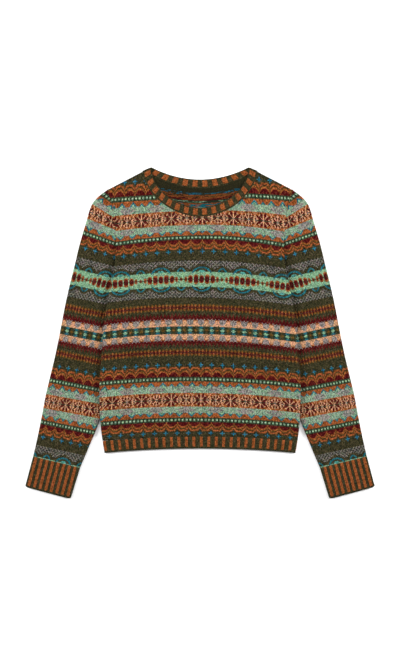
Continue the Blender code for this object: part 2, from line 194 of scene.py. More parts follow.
BODY_SIDE = [  # (y, half_width) in mm
    (-248.0, 195.5), (-222.0, 199.8), (-179.0, 204.6), (-132.0, 206.2), (-84.0, 205.0),
    (-37.0, 201.0), (22.0, 196.5), (73.0, 188.6), (122.0, 178.8), (150.0, 174.2),
    (180.0, 171.6), (217.0, 174.3), (250.0, 178.0), (270.0, 183.0), (292.5, 190.6),
]
SLEEVE_FOLDS = [  # (outer_x, outer_y, inner_x, inner_y) in mm
    (191.0, 292.3, 174.6, 149.8), (200.5, 285.5, 175.1, 146.5), (211.0, 277.0, 175.5, 142.5),
    (221.0, 264.5, 175.0, 137.0), (227.7, 248.5, 173.6, 130.0), (233.7, 226.5, 170.8, 122.0),
    (240.7, 203.0, 165.5, 112.0), (248.7, 175.0, 154.0, 97.0), (256.7, 141.0, 144.0, 76.0),
    (267.7, 97.0, 140.0, 46.0), (277.0, 55.0, 144.0, 14.0), (286.0, 8.0, 153.5, -26.0),
    (296.3, -43.0, 167.0, -72.0), (307.0, -88.0, 180.5, -114.0), (316.7, -128.5, 195.5, -154.0),
    (325.0, -173.0, 212.0, -196.0), (333.2, -213.0, 228.5, -236.0), (342.4, -253.6, 246.0, -277.2),
]
CUFF_END = (359.0, -316.4, 265.5, -341.3)  # the same four for the cuff's open end
CUFF_CORNER = 3.0 * MM

LIFT = 2 * FOLD_RADIUS + SLIT  # the body over a sleeve
LIFT_RAMP = 34.0 * MM
LIFT_MARGIN = 14.0 * MM
LIFT_FALL = 0.7
SLEEVE_LEAVES = -190.0 * MM


print(f"a wall of {WALL / MM:.1f} mm, folded to {2 * FOLD_RADIUS / MM:.1f} mm")


# %% Read the tables on smooth curves
def smooth_step(share):
    """Rises from 0 to 1 with level ends."""
    share = np.clip(share, 0.0, 1.0)
    return share * share * (3 - 2 * share)


def blend(start, end, share):
    return start + (end - start) * share


def read(table, at, key=0, value=1):
    """Reads a table in mm at keys in metres, on a smooth curve through its rows."""
    rows = np.array(sorted(table, key=lambda row: row[key])) * MM
    keys, values = rows[:, key], rows[:, value]
    slopes = np.gradient(values, keys)
    slopes[1:-1] = (values[2:] - values[:-2]) / (keys[2:] - keys[:-2])
    low = np.clip(np.searchsorted(keys, at, side="right") - 1, 0, len(keys) - 2)
    span = keys[low + 1] - keys[low]
    t = np.clip((at - keys[low]) / span, 0.0, 1.0)
    rise = values[low + 1] - values[low]
    start, end = slopes[low] * span, slopes[low + 1] * span
    return values[low] + start * t + (3 * rise - 2 * start - end) * t**2 + (start + end - 2 * rise) * t**3


def half_width(y):
    return read(BODY_SIDE, y)


def outer_fold_x(y):
    return read(SLEEVE_FOLDS, y, key=1, value=0)


def inner_fold_x(y):
    return read(SLEEVE_FOLDS, y, key=3, value=2)


print(f"half width of the body at the hem {half_width(HEM_SEAM_HEIGHT) / MM:.1f} mm")

# %% Shape the shoulders, the hem and the layers
SHOULDER_SLOPE = (NECK_POINT[1] - SHOULDER_POINT[1]) / (SHOULDER_POINT[0] - NECK_POINT[0])
SHOULDER_STRETCH = math.hypot(1.0, SHOULDER_SLOPE)
BAND_SHOULDER_DROP = BAND_ON_SHOULDER * SHOULDER_SLOPE / SHOULDER_STRETCH
BAND_SHOULDER_RUN = BAND_ON_SHOULDER * math.cos(math.atan2(BAND_SHOULDER_DROP, BAND_ON_SHOULDER))


def shoulder_y(x):
    return NECK_POINT[1] - (np.abs(x) - NECK_POINT[0]) * SHOULDER_SLOPE


def hem_seam_y(x):
    return HEM_SEAM_HEIGHT - HEM_DROP * (x / half_width(HEM_SEAM_HEIGHT)) ** 2


def lift(x, y):
    """How far the body's underside is above the table, where it lies over a sleeve."""
    hidden_fold = inner_fold_x(y) + LIFT_FALL * np.maximum(0.0, np.maximum(y - UNDERARM, SLEEVE_LEAVES - y))
    return LIFT * smooth_step((np.abs(x) - hidden_fold + LIFT_MARGIN + LIFT_RAMP) / LIFT_RAMP)


def round_over(distance):
    """Height of a rounded edge over its middle, at a distance from the edge."""
    inward = np.minimum(distance, FOLD_RADIUS) - FOLD_RADIUS
    return np.maximum(THIN_EDGE, np.sqrt(np.maximum(0.0, FOLD_RADIUS**2 - inward**2)))


def layer_height(x, y, front, outside):
    """Height of one skin of the front or the back layer at points of the body."""
    side = half_width(y) - np.abs(x) + np.maximum(0.0, y - UNDERARM)
    edge = np.maximum(0.0, np.minimum(side, (shoulder_y(x) - y) / SHOULDER_STRETCH))
    middle = lift(x, y) + FOLD_RADIUS
    inner = blend(SEAM_GAP, SLIT, np.minimum(1.0, edge / FOLD_RADIUS)) / 2
    half_gap = np.where(outside, round_over(edge), inner)
    return middle + half_gap if front else middle - half_gap


print(f"the shoulder falls by {math.degrees(math.atan(SHOULDER_SLOPE)):.0f} degrees")

# %% [markdown]
# ## The yarns
#
# Each colour is one lambswool yarn. The fibres are dyed before they are spun, and several shades go into
# one strand, so no yarn is one flat colour. The letters are the ones that the charts below are written in.

# %% The yarn basket
YARNS = {  # letter: (name, colour)
    "o": ("olive", "#2a2816"),
    "k": ("bottle_green", "#202a1c"),
    "d": ("peat", "#28180e"),
    "w": ("moss_brown", "#2c2816"),
    "r": ("rust", "#783f1c"),
    "n": ("bracken", "#483810"),
    "b": ("claret", "#400406"),
    "t": ("teal", "#0a5660"),
    "u": ("deep_teal", "#184048"),
    "B": ("kingfisher", "#105a70"),
    "m": ("mint", "#68886e"),
    "a": ("sea_green", "#668a6c"),
    "s": ("lagoon", "#3c7a72"),
    "p": ("pistachio", "#86a284"),
    "q": ("sage", "#486048"),
    "g": ("heather_grey", "#706a66"),
    "h": ("fog", "#6a6862"),
    "e": ("soot", "#24221a"),
    "c": ("peach", "#a67c5c"),
}
YARN_NUMBER = {letter: number for number, letter in enumerate(YARNS)}
RAMP_PLACES = 32  # the most that one Color Ramp holds
print(len(YARNS), "yarns:", ", ".join(name for name, _ in YARNS.values()))

# %% [markdown]
# ## The charts
#
# A knitter's chart is a grid with one square for each stitch. Most motifs are the same to the left and to
# the right of their middle, so a chart needs only one half: its first column is the middle, its last
# column the next turning point, and the knitter reads it forwards and backwards. Many are the same above
# and below too, and are written up to their middle row. The motifs are a large and a small star by turns,
# zigzags, scallops, crosses, teeth, lozenges, and arches over a row of blocks. "x" is a trellis of two
# greys, which follows a rule. The star is the middle of a group of bands, and each band's chart starts at
# the side that is nearer to the star.

# %% Charts of the bands
def there_and_back(*rows):
    """Rows up to the middle of a motif, and back down again."""
    return [*rows, *rows[-2::-1]]


MIRRORED_CHARTS = {
    "plain": ["oo"],
    "star": there_and_back(
        "rrrbrrrcrrrcrrrrr",
        "crbbrrrrcrcrrrrrc",
        "cbbbcrrrrcrrrcbcc",
        "cbbbccbbrcrbbcbbc",
        "cbbcbbbbcbcbccbbc",
        "cbcbbbbcbccbbbcbc",
        "ccbbbbccbbccbbbcg",
        "gkkkkkkkgcckkkkkg",
    ),
    "mint": there_and_back("mmgmmmgmmmgmmgggg", "gmmmgmmmgmmgggmgg", "mmgmmmgmmgggggggg", "gmmmgmmgggggmgggm"),
    "peaks": [
        "mttrrrttmmmmttrrr",
        "ttrrrrrttmmttrrrr",
        "trrrrrrrttttrrrrr",
        "rrrrrrrrrttrrrrrr",
        "rrrrrrrrrrrrrrrrr",
    ],
    "scallops": [
        "rbbbbbb",
        "rbbbbbb",
        "nrbbbbb",
        "drrbbbb",
        "rnrrbbb",
        "rdnrrrr",
        "rrdnrrr",
        "orrdnnn",
        "orrrddd",
        "oorrrrr",
        "ooorrrr",
    ],
    "crosses": there_and_back("BoooooooooooB", "BoooooooooooB", "BBBoooooooBBB"),
    "teeth": [
        "booobooobooob",
        "booobooobooob",
        "bbobbbobbbobb",
        "bbobbbobbbobb",
        "bbbbbbbbbbbbb",
        "bbbbbbbbbbbbb",
        "gbbbgbbbgbbbg",
    ],
    "ovals": [
        "bgggrrrrrgggb",
        "ggggrcccrgggg",
        "ggggcccccgggg",
        "ggggcccccgggg",
        "gggcccccccggg",
        "ggcccccccccgg",
        "ccccccccccccc",
    ],
    "butterflies": there_and_back(
        "ttukkwwwkkutt",
        "ttukkwwwkkutt",
        "uukkkwwwkkkuu",
        "aakkknnnkkkaa",
        "aaaknnrnnkaaa",
    ),
    "arcs": [
        *["x" * 23] * 4,
        "wwwxxxxxxxxxxxxxxxxxxxx",
        "wwwwwxxxxxxxxxxxxxxxxxx",
        "wwwwwwwxxxxxxxxxxxxwwww",
        "uuuuwwwwwxxxxxxxxxwwwww",
        "ttttttwwwwwxxxxxxwwwwuu",
        "wwwwttttwwwwwxxwwwwwttt",
        "wwwwwwtttwwwwwwwwwwttww",
        "ssswwwwtttwwwwwwwwttwww",
        "sssswwwwttwwwwwwwwttwww",
    ],
    "links": there_and_back(
        "ssaaaaaaattaaaaaaaaaaas",
        "aaaaaaaaaataaaaaaaaaaaa",
        "aaaaaaaaaaaaaaaaaaaaaaa",
        "aaaaarrraaaaaaaaaaaaaaa",
        "rraarrrrraarrraaaaaaaaa",
        "bbrarbbbrarrbrraaraaaaa",
        "bbbabbbbbarbbbrarrraaar",
        "bbbabbbbbabbbbbarbraarb",
        "kbbkbbkbbkbbkbbkbkbkkbk",
    ),
}
REPEATED_CHARTS = {
    "dots": there_and_back("kkkk", "kqqk", "kppk"),
    "flecks": there_and_back("oono", "onrn", "bnrn", "bbrb", "kbkb"),
}
TRELLIS_REPEAT = 4  # stitches between two lines of the trellis that lean the same way
print("charts:", ", ".join([*MIRRORED_CHARTS, *REPEATED_CHARTS]))

# %% [markdown]
# ## The order of the bands
#
# The bands are stacked from the cuff up. The same order runs through body and sleeves, so that the stripes
# meet at the armholes: the body starts at course 0, the sleeves 20 courses lower.

# %% Knit the charts into one tall swatch
FROM_STAR = ["mint", "peaks", "dots", "scallops", "crosses"]
star_group = [(name, -1) for name in reversed(FROM_STAR)] + [("star", 1)] + [(name, 1) for name in FROM_STAR]
middle_group = [("teeth", 1), ("ovals", 1), ("butterflies", 1), ("ovals", -1), ("teeth", -1)]
arcs_group = [("arcs", 1), ("links", 1), ("arcs", -1)]
ORDER = (
    [("links", 1, 1), ("arcs", -1), ("plain", 1, 8)] + star_group
    + [("plain", 1, 7), ("flecks", 1), ("plain", 1, 2)] + middle_group
    + [("plain", 1, 2), ("flecks", -1), ("plain", 1, 7)] + arcs_group + [("plain", 1, 8)] + star_group
    + [("plain", 1, 40)]
)
FIRST_COURSE = -20
SWATCH_HALF = 160  # stitches to each side of the middle


def knit_row(name, chart_row, course):
    """Yarn numbers of one row, for the stitches from -SWATCH_HALF to SWATCH_HALF."""
    stitches = np.arange(-SWATCH_HALF, SWATCH_HALF + 1)
    if name in REPEATED_CHARTS:
        letters = np.array(list(chart_row))[stitches % len(chart_row)]
    else:
        turn = len(chart_row) - 1
        there = stitches % (2 * turn)
        letters = np.array(list(chart_row))[np.minimum(there, 2 * turn - there)]
    crossing = ((stitches + course) % TRELLIS_REPEAT == 0) | ((stitches - course) % TRELLIS_REPEAT == 0)
    letters = np.where(letters == "x", np.where(crossing, "h", "e"), letters)
    return [YARN_NUMBER[letter] for letter in letters]


swatch = []
for name, direction, *count in ORDER:
    chart = {**MIRRORED_CHARTS, **REPEATED_CHARTS}[name][::direction]
    rows = [chart[i % len(chart)] for i in range(count[0])] if count else chart
    for chart_row in rows:
        swatch.append(knit_row(name, chart_row, len(swatch)))
SWATCH = np.array(swatch)
print(f"the swatch has {SWATCH.shape[0]} courses of {SWATCH.shape[1]} stitches")

# %% [markdown]
# ## A wall of stitches
#
# Every piece is laid out first as a slab in stitch space, where one unit is one stitch: x counts wales,
# the columns of stitches, y counts courses, the rows, and z is 0 on the side that shows and -1 inside.
# The slab is a grid of faces that is trimmed to the piece's outline, its border is drawn onto the outline,
# and a coarser grid closes it inside, because nobody sees single stitches there. Then every point is
# placed on the garment. Two maps stay behind: "stitches", which the materials read, and "OFBake", which
# spreads the piece over a square.

# %% Lay out a slab of stitches
SNAP_STEPS = 4
NUDGE = 0.02  # of a stitch, for measuring slopes
MERGE_DISTANCE, SLIVER = 0.2, 0.02  # of a stitch


def add_grid(bm, wales, courses, step, height):
    """Adds a grid of stitches from the first to the last wale and course, and returns its faces."""
    across = round((wales[1] - wales[0]) / step[0])
    along = round((courses[1] - courses[0]) / step[1])
    centre = Matrix.Translation(((wales[0] + wales[1]) / 2, (courses[0] + courses[1]) / 2, height))
    size = Matrix.Diagonal((across * step[0], along * step[1], 1.0, 1.0))
    grid = bmesh.ops.create_grid(bm, x_segments=across, y_segments=along, size=0.5, matrix=centre @ size)
    return list({face for vert in grid["verts"] for face in vert.link_faces})


def trim(bm, faces, margin, keep):
    """Deletes the faces that don't lie at least this far inside the outline."""
    points = np.array([face.calc_center_median() for face in faces])
    inside = margin(points[:, 0], points[:, 1])
    bmesh.ops.delete(bm, geom=[face for face, far in zip(faces, inside) if far < keep], context="FACES")


def draw_to_outline(bm, margin):
    """Moves the border's points onto the outline, by the way that the margin falls fastest."""
    border = [vert for vert in bm.verts if vert.is_boundary]
    w, c = np.array([vert.co[:2] for vert in border]).T
    for _ in range(SNAP_STEPS):
        here = margin(w, c)
        slope_w = (margin(w + NUDGE, c) - margin(w - NUDGE, c)) / (2 * NUDGE)
        slope_c = (margin(w, c + NUDGE) - margin(w, c - NUDGE)) / (2 * NUDGE)
        share = here / (slope_w**2 + slope_c**2 + 1e-12)
        w, c = w - np.clip(share * slope_w, -1, 1), c - np.clip(share * slope_c, -1, 1)
    for vert, x, y in zip(border, w, c):
        vert.co.xy = x, y
    bmesh.ops.remove_doubles(bm, verts=border, dist=MERGE_DISTANCE)
    bmesh.ops.dissolve_degenerate(bm, dist=SLIVER, edges=[edge for edge in bm.edges if edge.is_boundary])


def slab(wales, courses, margin, step, lining_step, lining_inset):
    """A closed slab in stitch space, trimmed to where the margin is above 0."""
    bm = bmesh.new()
    trim(bm, add_grid(bm, wales, courses, step, 0.0), margin, 0.0)
    draw_to_outline(bm, margin)
    rim = bmesh.ops.extrude_edge_only(bm, edges=[edge for edge in bm.edges if edge.is_boundary])
    rim_verts = [item for item in rim["geom"] if isinstance(item, bmesh.types.BMVert)]
    bmesh.ops.translate(bm, vec=(0.0, 0.0, -1.0), verts=rim_verts)
    trim(bm, add_grid(bm, wales, courses, lining_step, -1.0), margin, lining_inset)
    open_edges = [edge for edge in bm.edges if edge.is_boundary]
    bmesh.ops.triangle_fill(bm, use_beauty=True, edges=open_edges, normal=(0.0, 0.0, -1.0))
    bmesh.ops.recalc_face_normals(bm, faces=bm.faces)
    return bm


print(f"the border of a slab is drawn to its outline in {SNAP_STEPS} steps")

# %% Measure a mesh
def read_all(parts, attribute, columns, kind=float):
    """Reads one attribute of all points, faces or corners of a mesh at once."""
    values = np.zeros(len(parts) * columns, kind)
    parts.foreach_get(attribute, values)
    return values.reshape(-1, columns)


def triangle_corners(mesh):
    """The three corners of each of the mesh's triangles."""
    mesh.calc_loop_triangles()
    return read_all(mesh.vertices, "co", 3)[read_all(mesh.loop_triangles, "vertices", 3, np.int32)]


def volume(mesh):
    """Space inside a closed mesh, below 0 where its faces point inwards."""
    a, b, c = triangle_corners(mesh).transpose(1, 0, 2)
    return float((a * np.cross(b, c)).sum() / 6)


def surface_area(mesh):
    a, b, c = triangle_corners(mesh).transpose(1, 0, 2)
    return float(np.linalg.norm(np.cross(b - a, c - a), axis=1).sum() / 2)


print(f"the table measures {surface_area(table_mesh):.0f} square metres")

# %% Knit a closed wall
OUTSIDE, MAIN_INSIDE, CARRIED_INSIDE = 0, 1, 2  # which yarn of a row is asked for
MID_WALL = -0.5  # in the slab, half way between the side that shows and the inside
BELOW_TOP = -0.01  # in the slab, where the rim and the inside begin
BAKE_OUTSIDE, BAKE_INSIDE_FROM, BAKE_INSIDE = 0.84, 0.86, 0.13  # shares of the square's height
CREASE = math.radians(50)  # from where on an edge is shaded sharp
LINING_STEP = (6, 4)  # stitches and courses to one face inside
LINING_INSET = 9 * MM  # from the outline to the first whole face inside


def same_course(w, c):
    """Inside, each course lies behind itself."""
    return c


def knit(name, wales, courses, margin, place, chart, materials, step=(1, 1), lining_step=LINING_STEP,
         inset=LINING_INSET, lining_course=same_course):
    """Knits a piece: lays out its slab, looks its yarns up in a chart, and places it on the garment."""
    bm = slab(wales, courses, margin, step, lining_step, inset)
    mesh = bpy.data.meshes.new(name)
    bm.to_mesh(mesh)
    bm.free()

    w, c, z = read_all(mesh.polygons, "center", 3).T
    outside = z > MID_WALL
    c = np.where(outside, c, lining_course(w, c))
    wale, course = np.floor(w + 0.5).astype(int), np.floor(c).astype(int)
    own = chart(wale, course, np.where(outside, OUTSIDE, MAIN_INSIDE))
    below = chart(wale, course - outside, np.where(outside, OUTSIDE, CARRIED_INSIDE))
    for attribute, numbers in (("yarn", own), ("yarn_below", below)):
        layer = mesh.attributes.new(attribute, "FLOAT", "FACE")
        layer.data.foreach_set("value", ((numbers + 0.5) / RAMP_PLACES).astype(np.float32))
    mesh.polygons.foreach_set("material_index", (z < BELOW_TOP).astype(np.int32) * (len(materials) - 1))

    w, c, z = read_all(mesh.vertices, "co", 3).T
    corner = read_all(mesh.loops, "vertex_index", 1, np.int32)[:, 0]
    bake_u = (w - wales[0]) / (wales[1] - wales[0])
    bake_v = (c - courses[0]) / (courses[1] - courses[0])
    bake_v = np.where(z > MID_WALL, bake_v * BAKE_OUTSIDE, BAKE_INSIDE_FROM + bake_v * BAKE_INSIDE)
    stitch_v = np.where(z > MID_WALL, c, lining_course(w, c))
    for map_name, u, v in (("stitches", w + 0.5, stitch_v), ("OFBake", bake_u, bake_v)):
        layer = mesh.uv_layers.new(name=map_name)
        layer.data.foreach_set("uv", np.column_stack([u, v])[corner].astype(np.float32).ravel())

    placed = np.column_stack(place(w, c, z > MID_WALL))
    mesh.vertices.foreach_set("co", placed.astype(np.float32).ravel())
    if volume(mesh) < 0:
        mesh.flip_normals()
    for material in materials:
        mesh.materials.append(material)
    mesh.shade_smooth()
    mesh.set_sharp_from_angle(angle=CREASE)
    piece = bpy.data.objects.new(name, mesh)
    scene.collection.objects.link(piece)
    wall = 2 * volume(mesh) / surface_area(mesh) / MM
    print(f"{name}: {len(mesh.loop_triangles)} triangles, wall {wall:.2f} mm")
    return piece


print(f"inside, one face mostly covers {LINING_STEP[0]} by {LINING_STEP[1]} stitches")

# %% [markdown]
# ## Lambswool
#
# A stitch is a loop that shows as a V, two fat strands side by side, whose foot sits in the V below. So
# the border between two rows isn't straight: it zigzags by half a stitch, and small motifs get the soft
# toothed edges that fair isle is known for. The material finds its place in the stitch from the
# "stitches" map, takes the yarn of this stitch or of the one below it, and then paints shade into the
# grooves and light onto the strands' tops. It also speckles them by the several shades that are spun
# into the wool.

# %% Nodes that both sides of the knit share
V_DEPTH = 0.45  # how far a V's arms reach into the next course
FLECK = "#8a7f66"  # pale undyed fibres in every yarn
FLECK_RARITY, FLECK_SHARE = 5.0, 0.07
STRAND_HEIGHT, LOOP_HEIGHT, FIBRE_HEIGHT = 0.7, 0.3, 0.25
# Painted shade and light: a groove's colour is painted darker and a strand's top lighter, as light falls on
# round yarn.
PAINTED_GROOVE_SHADE, PAINTED_STRAND_LIGHT = 0.76, 0.34  # how light a groove is, and how much more a strand's top
FIBRE_SCALE, CLUMP_SCALE = 2.6, 0.62  # to a stitch: a clump of one shade is one or two stitches wide
FIBRE_CONTRAST, CLUMP_CONTRAST = 0.8, 2.0
TINT = 0.24  # how far a stitch's shade strays to a chance colour
DARKEST = 0.12
YARN_BUMP = 0.5 * MM
WHITE = (1.0, 1.0, 1.0, 1.0)
MATH, MIX = "ShaderNodeMath", "ShaderNodeMix"


def start_wool(name):
    """A new material, the way to add nodes to it, and the place in the stitches, also in its parts."""
    material, add = new_material(name)
    place = add("ShaderNodeUVMap", uv_map="stitches")
    across, along, _ = add("ShaderNodeSeparateXYZ", {0: place}).outputs
    return material, add, place, across, along


def weighted_sum(add, total, *parts):
    """Adds each part times its weight to the total."""
    for part, weight in parts:
        total = add(MATH, {0: part, 1: weight, 2: total}, operation="MULTIPLY_ADD")
    return total


def arch_over(add, value):
    """0 at each whole number and 1 half way between, round like a strand."""
    share = add(MATH, {0: value}, operation="FRACT")
    angle = add(MATH, {0: share, 1: math.pi}, operation="MULTIPLY")
    return add(MATH, {0: angle}, operation="SINE")


def chance_in(add, x, y):
    """Chance values that are the same all over one stitch or dash."""
    whole = [add(MATH, {0: value}, operation="FLOOR") for value in (x, y)]
    number = add("ShaderNodeCombineXYZ", {0: whole[0], 1: whole[1]})
    return add("ShaderNodeTexWhiteNoise", {"Vector": number}, noise_dimensions="2D").outputs


def spun_shades(add, place, fibre_scale):
    """How uneven the yarn is: fine along its fibres, and in clumps where a shade gathers."""
    return [
        add("ShaderNodeTexNoise", {
            "Vector": place, "Scale": scale, "Detail": detail, "Roughness": roughness}, noise_dimensions="2D")
        for scale, detail, roughness in ((fibre_scale, 3.0, 0.7), (CLUMP_SCALE, 2.0, 0.6))
    ]


def yarn_colour(add, is_second):
    """The colour of a face's first yarn, or of its second where asked: a step of a Color Ramp for each."""
    first, second = [
        add("ShaderNodeAttribute", attribute_name=name).outputs["Fac"] for name in ("yarn", "yarn_below")
    ]
    ramp = add("ShaderNodeValToRGB", {"Fac": add(MIX, {0: is_second, 2: first, 3: second})})
    ramp.color_ramp.interpolation = "CONSTANT"
    steps = ramp.color_ramp.elements
    for i, (_, colour) in enumerate(YARNS.values()):
        step = steps[i] if i < 2 else steps.new(i / RAMP_PLACES)
        step.position = i / RAMP_PLACES
        step.color = linear(colour)
    return ramp


def finish_wool(add, colour, shade, height):
    """Matt hairy wool: rough, with a soft sheen from the fibre ends that stand out of the yarn."""
    # The shade, painted shade and light mixed with the yarn's own uneven tone, darkens the base colour, never
    # below DARKEST.
    shade = add(MATH, {0: shade, 1: DARKEST}, operation="MAXIMUM")
    shader = add("ShaderNodeBsdfPrincipled", {
        "Base Color": add("ShaderNodeVectorMath", {0: colour, 3: shade}, operation="SCALE"),
        "Normal": add("ShaderNodeBump", {"Height": height, "Strength": 1.0, "Distance": YARN_BUMP}),
        "Roughness": 0.92, "IOR": 1.45, "Specular IOR Level": 0.06,
        "Sheen Weight": 0.03, "Sheen Roughness": 0.45, "Sheen Tint": linear("#d8cfc0"),
    })
    add("ShaderNodeOutputMaterial", {"Surface": shader})


print("a clump of one shade is about", round(1 / CLUMP_SCALE, 1), "stitches wide")


# %% Mix the wool
def knit_wool(name, speckle):
    """Stranded stocking stitch in lambswool. The speckle says how uneven the spun shades are."""
    material, add, place, across, along = start_wool(name)

    share = add(MATH, {0: across}, operation="FRACT")
    arm = add(MATH, {0: weighted_sum(add, -1.0, (share, 2.0))}, operation="ABSOLUTE")
    slanted = weighted_sum(add, along, (arm, -V_DEPTH))
    reach = add(MATH, {0: arm, 1: V_DEPTH}, operation="MULTIPLY")
    up = add(MATH, {0: along}, operation="FRACT")
    colour = yarn_colour(add, add(MATH, {0: up, 1: reach}, operation="LESS_THAN"))
    chance = chance_in(add, across, slanted)
    fibres, clumps = spun_shades(add, place, FIBRE_SCALE)

    strand = add(MATH, {0: arch_over(add, arm), 1: 0.0}, operation="MAXIMUM")
    strand = add(MATH, {0: strand, 1: 0.5}, operation="POWER")
    height = weighted_sum(
        add, 0.0, (strand, STRAND_HEIGHT), (arch_over(add, slanted), LOOP_HEIGHT), (fibres, FIBRE_HEIGHT))
    # The shade is painted shade in the grooves and painted light on the strands' tops, together with the
    # yarn's own uneven tone from chance, fibres and clumps.
    middle = (speckle + FIBRE_CONTRAST + CLUMP_CONTRAST) / 2
    shade = weighted_sum(
        add, PAINTED_GROOVE_SHADE - middle, (height, PAINTED_STRAND_LIGHT), (chance[0], speckle),
        (fibres, FIBRE_CONTRAST), (clumps, CLUMP_CONTRAST))

    rare = add(MATH, {0: chance[0], 1: FLECK_RARITY}, operation="POWER")
    fleck = add(MATH, {0: rare, 1: FLECK_SHARE}, operation="MULTIPLY")
    flecked = add(MIX, {0: fleck, 6: colour, 7: linear(FLECK)}, data_type="RGBA").outputs[2]
    tint = add(MIX, {0: TINT, 6: WHITE, 7: chance[1]}, data_type="RGBA").outputs[2]
    tinted = add(MIX, {0: 1.0, 6: flecked, 7: tint}, data_type="RGBA", blend_type="MULTIPLY").outputs[2]
    finish_wool(add, tinted, shade, height)
    return material


lambswool = knit_wool("fair_isle_lambswool", speckle=1.1)
rib_wool = knit_wool("corrugated_rib_lambswool", speckle=0.6)
print("wool mixed:", lambswool.name, rib_wool.name)

# %% [markdown]
# ## The inside of stranded knitting
#
# Inside, the yarn that isn't used is carried past the stitches in level strands, the floats. They hide
# most of the cloth behind them. So the inside shows the same stripes, but as short level dashes of the
# row's two yarns. The face of the lining holds these two yarns' numbers.

# %% Mix the inside
FLOAT_LENGTH = 5.0  # in stitches
FLOAT_SHIFT = 2.37  # floats that a course is set over against the one below
MAIN_SHARE = 0.6  # of the dashes that show the row's main yarn
FLOAT_FIBRE_SCALE, FLOAT_FIBRE_HEIGHT = 1.7, 0.4
# Painted shade: the whole inside is painted darker than the outside, and darker still between the floats;
# painted light on the floats' tops.
PAINTED_FLOAT_SHADE, PAINTED_FLOAT_LIGHT, FLOAT_CLUMPS = 0.3, 0.4, 1.6


def stranded_inside(name):
    """Level dashes of each row's two yarns."""
    material, add, place, across, along = start_wool(name)
    course = add(MATH, {0: along}, operation="FLOOR")
    floats_across = add(MATH, {0: across, 1: FLOAT_LENGTH}, operation="DIVIDE")
    chance = chance_in(add, weighted_sum(add, floats_across, (course, FLOAT_SHIFT)), along)
    colour = yarn_colour(add, add(MATH, {0: chance[0], 1: MAIN_SHARE}, operation="GREATER_THAN"))
    fibres, clumps = spun_shades(add, place, FLOAT_FIBRE_SCALE)
    height = weighted_sum(add, arch_over(add, along), (fibres, FLOAT_FIBRE_HEIGHT))
    # The shade is painted shade and painted light on the floats, together with the yarn's own clumps of tone.
    shade = weighted_sum(
        add, PAINTED_FLOAT_SHADE - FLOAT_CLUMPS / 2, (height, PAINTED_FLOAT_LIGHT), (clumps, FLOAT_CLUMPS))
    finish_wool(add, colour, shade, height)
    return material


floats = stranded_inside("lambswool_floats")
print("inside mixed:", floats.name)

# %% [markdown]
# ## Where the courses lie
#
# Steam and gravity pull the rows of a flat jumper into shallow arches that hang lower at the sides. A
# short table says how high chosen courses cross the middle of the front, another how strongly they arch
# and how wide a stitch is there. All the rest is read between their rows.

# %% Lay the courses of the body
COURSE_HEIGHTS = [  # (course, y at the middle) in mm
    (0, -213.5), (18, -183.8), (28, -164.6), (42.5, -138.4), (57, -110.3), (67, -90.8), (80.5, -66.2),
    (99, -32.6), (115, -3.3), (124, 12.7), (138, 39.4), (156, 71.8), (169, 93.9), (186, 124.7),
    (199, 148.2), (209.5, 166.5), (223, 190.8), (240, 220.8), (247.5, 235.1), (264.5, 269.4),
    (274.5, 291.1), (285.5, 315.5), (310, 368.0),
]
ARCHES = [  # (y, crown_x, left_bend, right_bend) in mm and 1/m
    (-211.8, -16.4, 0.244, 0.224), (-179.0, -20.5, 0.263, 0.254), (-86.7, -20.5, 0.273, 0.273),
    (5.5, -20.5, 0.366, 0.356), (67.0, -20.5, 0.371, 0.356), (190.0, 12.3, 0.415, 0.66),
    (235.0, 20.0, 0.33, 0.56), (279.0, 60.0, 0.165, 0.40), (315.0, 50.0, 0.20, 0.50),
]
STITCH_WIDTHS = [  # (y, middle_x, width in the middle, width 100 stitches out) in mm
    (-213.0, -1.0, 1.93, 1.93), (-179.0, 0.6, 1.93, 1.91), (-138.0, 2.0, 1.90, 1.89), (-66.0, 1.9, 1.85, 1.84),
    (55.0, 2.0, 1.85, 1.83), (118.0, 3.5, 1.91, 1.84), (166.0, 4.9, 1.94, 1.84), (200.0, 4.9, 2.0, 1.76),
    (300.0, 4.9, 1.98, 1.62),
]
SIDE_STITCH = 100


def between(table, at, column):
    """Reads a column of a table straight between its rows, keys and values as they are written."""
    rows = np.array(table)
    return np.interp(at, rows[:, 0], rows[:, column])


def course_arch(x, y):
    """How much lower a course lies at x than its height y in the middle."""
    y_mm = y / MM
    from_crown = x - between(ARCHES, y_mm, 1) * MM
    middle = between(ARCHES, y_mm, 1) * MM
    bend = np.where(from_crown < 0, between(ARCHES, y_mm, 2), between(ARCHES, y_mm, 3))
    bend_middle = np.where(middle > 0, between(ARCHES, y_mm, 2), between(ARCHES, y_mm, 3))
    return bend * from_crown**2 - bend_middle * middle**2


def body_stitch(w, c):
    """Place of a stitch on the flat body."""
    y = between(COURSE_HEIGHTS, c, 1)
    middle, side = between(STITCH_WIDTHS, y, 2), between(STITCH_WIDTHS, y, 3)
    x = between(STITCH_WIDTHS, y, 1) + middle * w + (side - middle) * w**3 / (3 * SIDE_STITCH**2)
    x, y = x * MM, y * MM
    return x, y - course_arch(x, y)


print("course 100 crosses the middle at y = {:.1f} mm".format(body_stitch(0.0, 100.0)[1] / MM))

# %% [markdown]
# ## Front and back
#
# Both are the same width. The front is cut out deep for the neck, the back only a little. The margin is
# the distance of a point from the nearest edge of its piece, and is what the slab is trimmed by. Along a
# seam the cloth rolls down into it, so the outer skin dips there.

